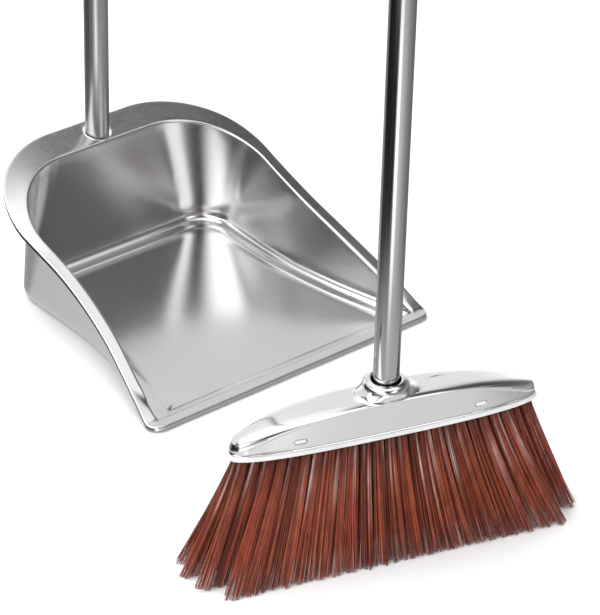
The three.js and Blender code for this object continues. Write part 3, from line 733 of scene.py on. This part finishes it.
# ---------------------------------------------------------------- broom head
crease_rise = profile(CREASE_RISE)
ridge_rise = profile(RIDGE_RISE)


def oval_point(length, width, angle):
    """A point of the rounded-off oval that the head's outlines follow."""

    def softened(c):
        return math.copysign(abs(c) ** (2 / COVER_EXPONENT), c)

    return length * softened(math.cos(angle)), width * softened(math.sin(angle))


def oval_half_width(length, width, u):
    """Half the oval's width at a place along it."""
    share = min(abs(u) / length, 1)
    return width * (1 - share**COVER_EXPONENT) ** (1 / COVER_EXPONENT)


def oval_angles(count, fine=6000):
    """Angles round the cover's outline that put its points evenly along it."""
    lengths = [0.0]
    before = Vector(oval_point(COVER_L, COVER_W, 0))
    for i in range(1, fine + 1):
        here = Vector(oval_point(COVER_L, COVER_W, 2 * math.pi * i / fine))
        lengths.append(lengths[-1] + (here - before).length)
        before = here
    angles, k = [], 0
    for i in range(count):
        while lengths[k] < lengths[-1] * i / count:
            k += 1
        angles.append(2 * math.pi * k / fine)
    return angles


DIMPLE = Vector((46, 2))
DIMPLE_R = 4.2
DIMPLE_DEPTH = 0.45


def dimple(u, v):
    """Depth of the small stamped crescent on the dome beside the collar."""
    away = Vector((u, v)) - DIMPLE
    if away.length > 3 * DIMPLE_R:
        return 0.0
    side = 0.5 + 0.5 * math.cos(math.atan2(away.y, away.x) - math.radians(60))
    return DIMPLE_DEPTH * side * math.exp(-((away.length - DIMPLE_R) ** 2))


def dome_rise(u, v):
    """Height of the dome above the cover's bottom edge at a place in plan."""
    width = max(oval_half_width(COVER_L, COVER_W, u), 0.01)
    share = min(abs(v) / width, 1)
    bulge = (1 - share**4) ** 0.5
    return lerp(crease_rise(abs(u)), ridge_rise(abs(u)), bulge) - dimple(u, v)


# where a section's points stand on the dome: 1 at the collar's neck, 0 at the crease
DOME_SHARES = [0.93, 0.86, 0.78, 0.7, 0.62, 0.55, 0.48, 0.42, 0.36, 0.3, 0.25, 0.2, 0.16, 0.12, 0.09]
DOME_SHARES += [0.06, 0.035, 0.015]


def cover_section(angle):
    """One section of the cover's outer face, from the collar's bore out to the bottom edge."""
    crease = oval_point(COVER_L - 0.5, COVER_W - 0.5, angle)
    panel = crease_rise(abs(crease[0]))
    inset = PANEL_INSET * min(1, panel / 12)
    direction = math.atan2(crease[1] * 3, crease[0])
    collar_rise = COLLAR_TOP - COVER_BOTTOM

    def at(distance, rise):
        return Vector((*oval_point(COVER_L - distance, COVER_W - distance, angle), rise))

    def on_circle(radius, rise):
        return Vector((radius * math.cos(direction), radius * math.sin(direction), rise))

    def on_dome(share):
        u = lerp(crease[0], NECK[0] * math.cos(direction), share)
        v = lerp(crease[1], NECK[1] * math.sin(direction), share)
        return Vector((u, v, dome_rise(u, v)))

    bore = [on_circle(COLLAR_BORE, collar_rise - d) for d in (14, 6, 1.6)]
    lip = bend(
        on_circle(COLLAR_BORE, collar_rise - 1.6),
        on_circle(COLLAR_BORE + 0.2, collar_rise),
        on_circle(COLLAR_BORE + 1.6, collar_rise),
        4,
    )
    shoulder = bend(
        on_circle(COLLAR_BORE + 2.4, collar_rise - 0.15),
        on_circle(COLLAR_R, collar_rise - 0.9),
        on_circle(COLLAR_R + 0.3, collar_rise - 5),
        8,
    )
    foot_turn = on_dome(1).lerp(on_circle(COLLAR_R + 0.4, collar_rise - 11), 0.5)
    neck = bend(on_circle(COLLAR_R + 0.4, collar_rise - 6), foot_turn, on_dome(1), 8)
    dome = [on_dome(share) for share in DOME_SHARES]
    drop = min(1.7, 0.32 * panel)
    foot = min(1.0, 0.3 * panel)
    low = panel - drop
    edge = [Vector((*crease, panel)), at(0.55, panel - 0.15 * drop)]
    edge += [at(inset * 0.8, panel - 0.75 * drop), at(inset, low)]
    face = [at(lerp(inset, inset * 0.35, s), lerp(low, foot, s)) for s in (0.03, 0.25, 0.5, 0.75, 0.97)]
    hem = [at(inset * 0.32, foot), at(inset * 0.1, 0.8 * foot), at(0, 0.5 * foot), at(0, 0)]
    return bore + lip + shoulder + neck + dome + edge + face + hem


def slot_outline(length, height, steps=10):
    """A slot with round ends."""
    r = height / 2
    half = length / 2 - r
    right = [(half + r * math.cos(a), r * math.sin(a)) for a in arc(-90, 90, steps)]
    left = [(-half + r * math.cos(a), r * math.sin(a)) for a in arc(90, 270, steps)]
    return right + left


def arc(start, end, steps):
    """Angles in radians, evenly spaced between two in degrees."""
    return [math.radians(lerp(start, end, i / steps)) for i in range(steps + 1)]


CUT_REACH = 40


def across_head(name, outline, u, rise, reach, material, soften=0.0):
    """A bar across the head with this outline, at a place along it and above the cover's edge."""
    place = BROOM @ Matrix.Translation((u, 0, COVER_BOTTOM + rise)) @ Matrix.Rotation(math.pi / 2, 4, "X")
    return prism(name, outline, -reach, reach, material, place, soften)


def head_cover():
    """The pressed cover, with its two snap slots and the small notches beside them."""
    sections = [cover_section(a) for a in oval_angles(420)]
    rings = [[tuple(s[r]) for s in sections] for r in range(len(sections[0]))]
    place = BROOM @ Matrix.Translation((0, 0, COVER_BOTTOM))
    cover = make("broom_head_cover", *sheet(rings, COVER_SHEET, False), LOOKS["cover_steel"], place)
    notch = [(-0.35, -1.0), (0.35, -1.0), (0.35, 1.1), (-0.35, 1.1)]
    for u in (-SLOT_U, SLOT_U):
        cuts = [across_head("slot", slot_outline(*SLOT_SIZE), u, SLOT_RISE, CUT_REACH, None)]
        cuts += [across_head("notch", notch, u + side, 0, CUT_REACH, None) for side in (-8, 8)]
        for cut in cuts:
            boolean(cover, cut, solver="MANIFOLD")
    tidy(cover, 28)
    add_piece(cover, "broom", "cover_steel", "head_cover")


def oval_ring(length, width, z, count=200):
    """A level ring of points along the oval."""
    return [(*oval_point(length, width, 2 * math.pi * i / count), z) for i in range(count)]


def bristle_block():
    """The block: its rim below the cover, the riser inside it, the snap tabs and the socket."""
    rim_top = BLOCK_BOTTOM + BLOCK_RIM
    rim_l, rim_w = COVER_L + 1.6, COVER_W + 1.4
    rim = [
        (3, BLOCK_BOTTOM), (1.1, BLOCK_BOTTOM), (0.3, BLOCK_BOTTOM + 0.35), (0, BLOCK_BOTTOM + 1.1),
        (0, rim_top - 0.9), (0.25, rim_top - 0.25), (0.9, rim_top),
    ]
    riser_l, riser_w = RISER
    levels = [(rim_l - inset, rim_w - inset, z) for inset, z in rim]
    levels += [(riser_l + 2, riser_w + 1.4, rim_top), (riser_l, riser_w, rim_top + 1)]
    levels += [(riser_l, riser_w, RISER_TOP - 1), (riser_l - 1, riser_w - 1, RISER_TOP), (60, 6, RISER_TOP)]
    rings = [oval_ring(*level) for level in levels]
    block = make("broom_bristle_block", *stack(rings, True, True), LOOKS["white_plastic"], BROOM)
    reach = oval_half_width(COVER_L, COVER_W, SLOT_U) - 0.6
    for u in (-SLOT_U, SLOT_U):
        outline = slot_outline(*(size - 1.2 for size in SLOT_SIZE))
        tab = across_head("tab", outline, u, SLOT_RISE, reach, LOOKS["white_plastic"], 0.7)
        boolean(block, tab, "UNION")
    low, high, socket_r = BLOCK_BOTTOM + 3, BLOCK_BOTTOM + 20, STUD_R + GAP
    socket = [(0, low), (socket_r, low), (socket_r, high), (0, high)]
    boolean(block, lathe("socket", socket, None, BROOM, 0, 64))
    tidy(block, 35)
    add_piece(block, "broom", "white_plastic", "bristle_block")


def head_stud():
    """The ribbed stud that joins the block to the handle."""
    foot, top = BLOCK_BOTTOM + 3 + GAP, BROOM_TUBE_Z[0] + 28
    pitch, groove_r = 2.2, STUD_R - 0.7
    outline = [(0, foot), (STUD_R - 1, foot), (STUD_R, foot + 1)]
    for i in range(int((top - foot - 4) / pitch)):
        z = foot + 2 + i * pitch
        outline += [(STUD_R, z), (STUD_R, z + 0.9), (groove_r, z + 1.3), (groove_r, z + 1.8)]
    outline += [(STUD_R, top - 1), (STUD_R - 1, top), (0, top)]
    stud = lathe("broom_head_stud", outline, LOOKS["dark_plastic"], BROOM, 0.15, 64)
    add_piece(stud, "broom", "dark_plastic", "head_stud")


# ---------------------------------------------------------------- bristles
STRANDS = 13
FILAMENTS = 6
GOLDEN_TURN = math.pi * (3 - math.sqrt(5))
LEVELS = (0.0, 0.12, 0.3, 0.52, 0.78, 1.0)
RED = (0.39, 0.075, 0.035)
# pale colour of the painted highlight streaks, and of the real pale split tips
PALE = (0.95, 0.72, 0.66)
PALE_TIP = 0.6
TIP_TAPER = 0.8
FILAMENT_R = (0.36, 0.48)


def strand(chance, index):
    """What the filaments of one strand of a tuft share: where they stand in it, their colour, and a painted
    highlight streak on some.
    """
    turn = GOLDEN_TURN * index + chance.uniform(-0.4, 0.4)
    out = math.sqrt((index + 0.5) / STRANDS)
    return {
        "lean": (out * math.cos(turn), out * math.sin(turn)),
        "bow": chance.uniform(-0.9, 0.9),
        "stray": chance.gauss(0, 1.0) if chance.random() < 0.15 else chance.gauss(0, 0.25),
        "length": chance.choice((0.0, 0.0, 0.3, 0.8, 1.6)),
        "shade": chance.uniform(0.5, 1.25),
        "warm": chance.uniform(0.85, 1.2),
        # painted highlight: about a fifth of the strands get a pale streak, with its strength and its place
        # along them
        "painted_highlight": chance.uniform(0.5, 1.0) if chance.random() < 0.22 else 0.0,
        "painted_highlight_at": chance.uniform(0.05, 0.45),
    }


def filament(chance, u, v, flare, shared):
    """Centre line, radius and colours of one filament of the tuft at u, v."""
    lean_u = shared["lean"][0] + chance.uniform(-0.22, 0.22)
    lean_v = shared["lean"][1] + chance.uniform(-0.22, 0.22)
    length = shared["length"] + chance.uniform(0, 0.9)
    top = BLOCK_BOTTOM + 0.6
    shade = shared["shade"] * chance.uniform(0.88, 1.12)
    pale_end = chance.random() < 0.2
    # how strongly this filament shows its strand's painted highlight streak
    streak = chance.uniform(0.3, 1.0)
    points, colours = [], []
    for t in LEVELS:
        spread = t**1.12
        width = lerp(TUFT_ROOT[0] * 1.15, TUFT_TIP[0] * 1.2, t**0.9)
        depth = lerp(TUFT_ROOT[1] * 0.9, TUFT_TIP[1] * 0.8, spread)
        aside = shared["bow"] * math.sin(math.pi * t) + shared["stray"] * t * t
        x = u * lerp(1, flare, spread) + lean_u * width + aside
        y = v * lerp(1, FLARE_V, spread) + lean_v * depth + aside * 0.5
        points.append(Vector((x, y, lerp(top, length + 0.05, t))))
        # painted shade: each filament is darker towards the root, down to 0.45 at the block, where the
        # tufts shade each other
        tone_with_root_shade = shade * lerp(0.45, 1.0, clamp(t * 3))
        colour = [RED[0] * tone_with_root_shade, RED[1] * tone_with_root_shade * shared["warm"], RED[2] * tone_with_root_shade * shared["warm"]]
        # painted highlight: a pale streak on the strands that have one, centred partway along the filament
        pale = shared["painted_highlight"] * math.exp(-(((t - shared["painted_highlight_at"]) / 0.16) ** 2)) * streak
        if pale_end and t == 1.0:
            pale = PALE_TIP
        colours.append((*(lerp(c, p, pale) for c, p in zip(colour, PALE)), 1))
    return points, chance.uniform(*FILAMENT_R), colours


def bristle_row(index):
    """One row of tufts, each a bundle of tapered three-sided filaments."""
    chance = random.Random(40 + index)
    v, half = ROW_V[index], ROW_HALF[index]
    flare = ROW_REACH[index] / half
    count = round(2 * half / TUFT_PITCH)
    points, faces, colours = [], [], []
    for k in range(count + 1):
        u = lerp(-half, half, k / count)
        shared = [strand(chance, i) for i in range(STRANDS)]
        for number in range(STRANDS * FILAMENTS):
            line, radius, shades = filament(chance, u, v, flare, shared[number % STRANDS])
            start = len(points)
            phase = chance.uniform(0, 2)
            for level, (p, colour) in enumerate(zip(line, shades)):
                r = radius * (TIP_TAPER if level == len(line) - 1 else 1)
                for side in range(3):
                    a = phase + 2 * math.pi * side / 3
                    points.append((p.x + r * math.cos(a), p.y + r * math.sin(a), p.z))
                    colours.append(colour)
            for level in range(len(line) - 1):
                a = start + level * 3
                faces += [(a + s, a + (s + 1) % 3, a + 3 + (s + 1) % 3, a + 3 + s) for s in range(3)]
            end = start + 3 * (len(line) - 1)
            faces += [(start, start + 2, start + 1), (end, end + 1, end + 2)]
    mesh = bpy.data.meshes.new(f"broom_bristle_row_{index + 1}")
    mesh.from_pydata([tuple(BROOM @ Vector(p)) for p in points], [], faces)
    shade = mesh.color_attributes.new("shade", "FLOAT_COLOR", "POINT")
    shade.data.foreach_set("color", [c for colour in colours for c in colour])
    mesh.polygons.foreach_set("use_smooth", [True] * len(mesh.polygons))
    mesh.materials.append(LOOKS["bristles"])
    obj = bpy.data.objects.new(mesh.name, mesh)
    bpy.context.scene.collection.objects.link(obj)
    add_piece(obj, "broom", "bristles", f"bristle_row_{index + 1}")


# ---------------------------------------------------------------- storage clip
def handle_clip():
    """The clip: a ring round the broom's handle and an open jaw for the pan's, from one outline."""
    bore = BROOM_TUBE_R + GAP
    grip = PAN_TUBE_R + 0.2
    reach = bore + grip + CLIP_WALL
    ring_r, jaw_r = bore + CLIP_WALL, grip + CLIP_WALL
    ring_side = math.degrees(math.asin(CLIP_WEB / ring_r))
    jaw_side = math.degrees(math.asin(CLIP_WEB / jaw_r))
    mouth = math.degrees(CLIP_MOUTH)

    def round_middle(radius, y, angles):
        return [(radius * math.cos(a), y + radius * math.sin(a)) for a in angles]

    def lip(angle, start):
        middle, r = grip + CLIP_WALL / 2, CLIP_WALL / 2
        x, y = middle * math.cos(math.radians(angle)), reach + middle * math.sin(math.radians(angle))
        return [(x + r * math.cos(a), y + r * math.sin(a)) for a in arc(start, start + 180, 8)[1:-1]]

    outline = round_middle(ring_r, 0, arc(90 + ring_side, 450 - ring_side, 60))
    outline += round_middle(jaw_r, reach, arc(-90 + jaw_side, 90 - mouth, 30))
    outline += lip(90 - mouth, 90 - mouth)
    outline += round_middle(grip, reach, arc(90 - mouth, -270 + mouth, 64))
    outline += lip(90 + mouth, 270 + mouth)
    outline += round_middle(jaw_r, reach, arc(90 + mouth, 270 - jaw_side, 30))
    low, high = CLIP_Z, CLIP_Z + CLIP_TALL
    clip = prism("handle_clip_body", outline, low, high, LOOKS["clip_plastic"], BROOM_HANDLE)
    room = [(0, low - 1), (bore, low - 1), (bore, high + 1), (0, high + 1)]
    boolean(clip, lathe("room", room, None, BROOM_HANDLE, 0))
    bevel(clip, 0.5, 50)
    tidy(clip, 35)
    add_piece(clip, "handle_clip", "clip_plastic", "handle_clip")


# ---------------------------------------------------------------- stage, light and camera
FLOOR_HALF = 4000
FLOOR_DROP = 0.05


def make_floor():
    """The pale studio floor, which the steel does not reflect."""
    corners = ((-1, -1), (1, -1), (1, 1), (-1, 1))
    points = [(x * FLOOR_HALF, y * FLOOR_HALF, -FLOOR_DROP) for x, y in corners]
    look = Look("studio_floor", Roughness=0.7)
    look.link(look.shades(look.noise(1.5, 2), (0.9, 0.9, 0.905), (0.93, 0.93, 0.935)), "Base Color")
    floor = make("studio_floor", points, [(0, 1, 2, 3)], look.material, Matrix.Scale(MM, 4))
    floor.visible_glossy = False


# Studio surround: (elevation, brightness by compass angle). Angles are in degrees, the compass
# angle from the front towards the left side; the brightness fades from each height to the next.
SURROUND = [
    (-38, [(-180, 0.8), (180, 0.8)]),
    (-31, [
        (-180, 0.4), (-150, 0.5), (-120, 0.3), (-82, 0.26), (-30, 0.5), (-8, 0.8), (12, 1.1),
        (24, 1.3), (31, 3.2), (47, 3.2), (55, 0.3), (64, 0.03), (145, 0.02), (165, 0.3),
        (180, 0.4),
    ]),
    (-23, [
        (-180, 0.4), (-150, 0.5), (-120, 0.3), (-82, 0.26), (-30, 0.5), (-8, 0.8), (12, 1.0),
        (24, 1.1), (31, 2.4), (47, 2.4), (55, 0.3), (64, 0.03), (145, 0.02), (165, 0.3),
        (180, 0.4),
    ]),
    (-10, [
        (-180, 1.2), (-122, 1.2), (-100, 0.4), (-60, 0.35), (0, 0.3), (30, 0.5), (60, 0.9),
        (82, 0.5), (100, 0.06), (155, 0.05), (172, 1.2), (180, 1.2),
    ]),
    (12, [
        (-180, 1.2), (-122, 1.2), (-100, 0.3), (-60, 0.25), (0, 0.2), (24, 0.3), (36, 0.6),
        (43, 2.4), (62, 2.4), (76, 1.6), (84, 0.8), (100, 0.06), (155, 0.05), (172, 1.2),
        (180, 1.2),
    ]),
    (24, [
        (-180, 0.95), (-128, 0.95), (-104, 0.24), (-60, 0.14), (-20, 0.18), (-11, 2.4), (4, 2.4),
        (14, 0.5), (22, 0.05), (37, 0.05), (46, 0.9), (62, 2.8), (78, 3.4), (98, 3.4), (112, 2.6),
        (128, 0.9), (150, 0.9), (180, 0.95),
    ]),
    (38, [
        (-180, 0.95), (-134, 0.95), (-118, 0.12), (-60, 0.12), (-20, 0.18), (-11, 2.4), (4, 2.4),
        (14, 0.5), (22, 0.05), (40, 0.02), (46, 1.1), (62, 2.6), (78, 3.4), (98, 3.4), (110, 2.6),
        (124, 0.9), (150, 0.9), (180, 0.95),
    ]),
    (44, [
        (-180, 1.3), (-142, 1.2), (-131, 0.09), (-86, 0.06), (-72, 0.2), (-24, 0.7), (-12, 0.15),
        (36, 0.12), (50, 1.0), (92, 0.6), (106, 0.2), (146, 0.9), (180, 1.3),
    ]),
    (53, [
        (-180, 1.3), (-142, 1.2), (-131, 0.14), (-86, 0.1), (-70, 0.5), (-24, 1.3), (-10, 0.2),
        (36, 0.2), (54, 1.0), (92, 0.6), (106, 0.1), (146, 0.1), (160, 1.0), (180, 1.3),
    ]),
    (64, [(-180, 1.6), (-34, 1.6), (-12, 0.5), (36, 0.5), (56, 1.5), (180, 1.6)]),
    (74, [(-180, 1.6), (180, 1.6)]),
]


def surround():
    """Paints the world from SURROUND: one ramp round the compass for each height."""
    world = bpy.data.worlds.new("studio")
    bpy.context.scene.world = world
    world.use_nodes = True
    tree = world.node_tree
    new, link = tree.nodes.new, tree.links.new

    def maths(operation, a, b=None):
        node = new("ShaderNodeMath")
        node.operation = operation
        for socket, value in zip(node.inputs, (a, b)):
            if isinstance(value, (int, float)):
                socket.default_value = value
            elif value is not None:
                link(value, socket)
        return node.outputs[0]

    def band(points, turn):
        ramp = new("ShaderNodeValToRGB")
        marks = ramp.color_ramp.elements
        marks[0].position, marks[-1].position = 0, 1
        for (_, value), mark in zip((points[0], points[-1]), (marks[0], marks[-1])):
            mark.color = (value, value, value, 1)
        for angle, value in points[1:-1]:
            marks.new(angle / 360 + 0.5).color = (value, value, value, 1)
        ramp.color_ramp.interpolation = "EASE"
        link(turn, ramp.inputs["Fac"])
        return ramp.outputs["Color"]

    def fade(height, start, end, below, above):
        spread = new("ShaderNodeMapRange")
        spread.interpolation_type = "SMOOTHSTEP"
        spread.inputs["From Min"].default_value = start
        spread.inputs["From Max"].default_value = end
        link(height, spread.inputs["Value"])
        mix = new("ShaderNodeMix")
        mix.data_type = "RGBA"
        link(spread.outputs["Result"], mix.inputs["Factor"])
        link(below, mix.inputs["A"])
        link(above, mix.inputs["B"])
        return mix.outputs["Result"]

    split = new("ShaderNodeSeparateXYZ")
    link(new("ShaderNodeTexCoord").outputs["Generated"], split.inputs["Vector"])
    x, y, z = split.outputs
    angle = maths("ARCTAN2", maths("MULTIPLY", x, -1), maths("MULTIPLY", y, -1))
    turn = maths("ADD", maths("DIVIDE", angle, 2 * math.pi), 0.5)
    height, colour = SURROUND[0][0], band(SURROUND[0][1], turn)
    for next_height, points in SURROUND[1:]:
        start, end = (math.sin(math.radians(h)) for h in (height, next_height))
        colour = fade(z, start, end, colour, band(points, turn))
        height = next_height
    link(colour, tree.nodes["Background"].inputs["Color"])


def softbox(name, place, target, size, power):
    """A rectangular lamp at a place, turned to its target, in metres and watts."""
    light = bpy.data.lights.new(name, "AREA")
    light.shape = "RECTANGLE"
    light.size, light.size_y = size
    light.energy = power
    obj = bpy.data.objects.new(name, light)
    obj.location = place
    obj.rotation_euler = (Vector(target) - Vector(place)).to_track_quat("-Z", "Y").to_euler()
    bpy.context.scene.collection.objects.link(obj)


# the camera: lens in mm, azimuth, pitch and roll in degrees, distance in metres
LENS = 185.8
CAMERA_ANGLES = (-40.33, 31.465, 1.571)
LOOK_AT = Vector((10.29, 11.15, 60))
CAMERA_DISTANCE = 2.6692


def camera():
    """The photograph's camera, which looks at a place in the pan's frame."""
    data = bpy.data.cameras.new("camera")
    data.sensor_fit = "HORIZONTAL"
    data.sensor_width = 36
    data.lens = LENS
    azimuth, pitch, roll = (math.radians(a) for a in CAMERA_ANGLES)
    level = Vector((math.sin(azimuth), -math.cos(azimuth), 0))
    back = level * math.cos(pitch) + Vector((0, 0, math.sin(pitch)))
    right = Vector((0, 0, 1)).cross(back).normalized()
    up = back.cross(right)
    turned_right = right * math.cos(roll) + up * math.sin(roll)
    turned_up = up * math.cos(roll) - right * math.sin(roll)
    eye = PAN @ LOOK_AT + back * CAMERA_DISTANCE
    obj = bpy.data.objects.new("camera", data)
    rotation = Matrix((turned_right, turned_up, back)).transposed()
    obj.matrix_world = Matrix.Translation(eye) @ rotation.to_4x4()
    bpy.context.scene.collection.objects.link(obj)
    bpy.context.scene.camera = obj


# ---------------------------------------------------------------- the set
pan_body()
handle_cup()
cup_screw()
handle("pan", "dustpan", PAN_TUBE_R, PAN_TUBE_Z, PAN_HANDLE, LOOKS["pan_tube"])
head_cover()
bristle_block()
head_stud()
for row in range(len(ROW_V)):
    bristle_row(row)
handle("broom", "broom", BROOM_TUBE_R, BROOM_TUBE_Z, BROOM_HANDLE, LOOKS["tube_steel"])
handle_clip()

make_floor()
surround()
softbox("overhead", place=(-0.5, 0.6, 2.6), target=(0, 0, 0), size=(1.6, 1.2), power=38)
camera()
bpy.context.scene.view_settings.view_transform = "Standard"
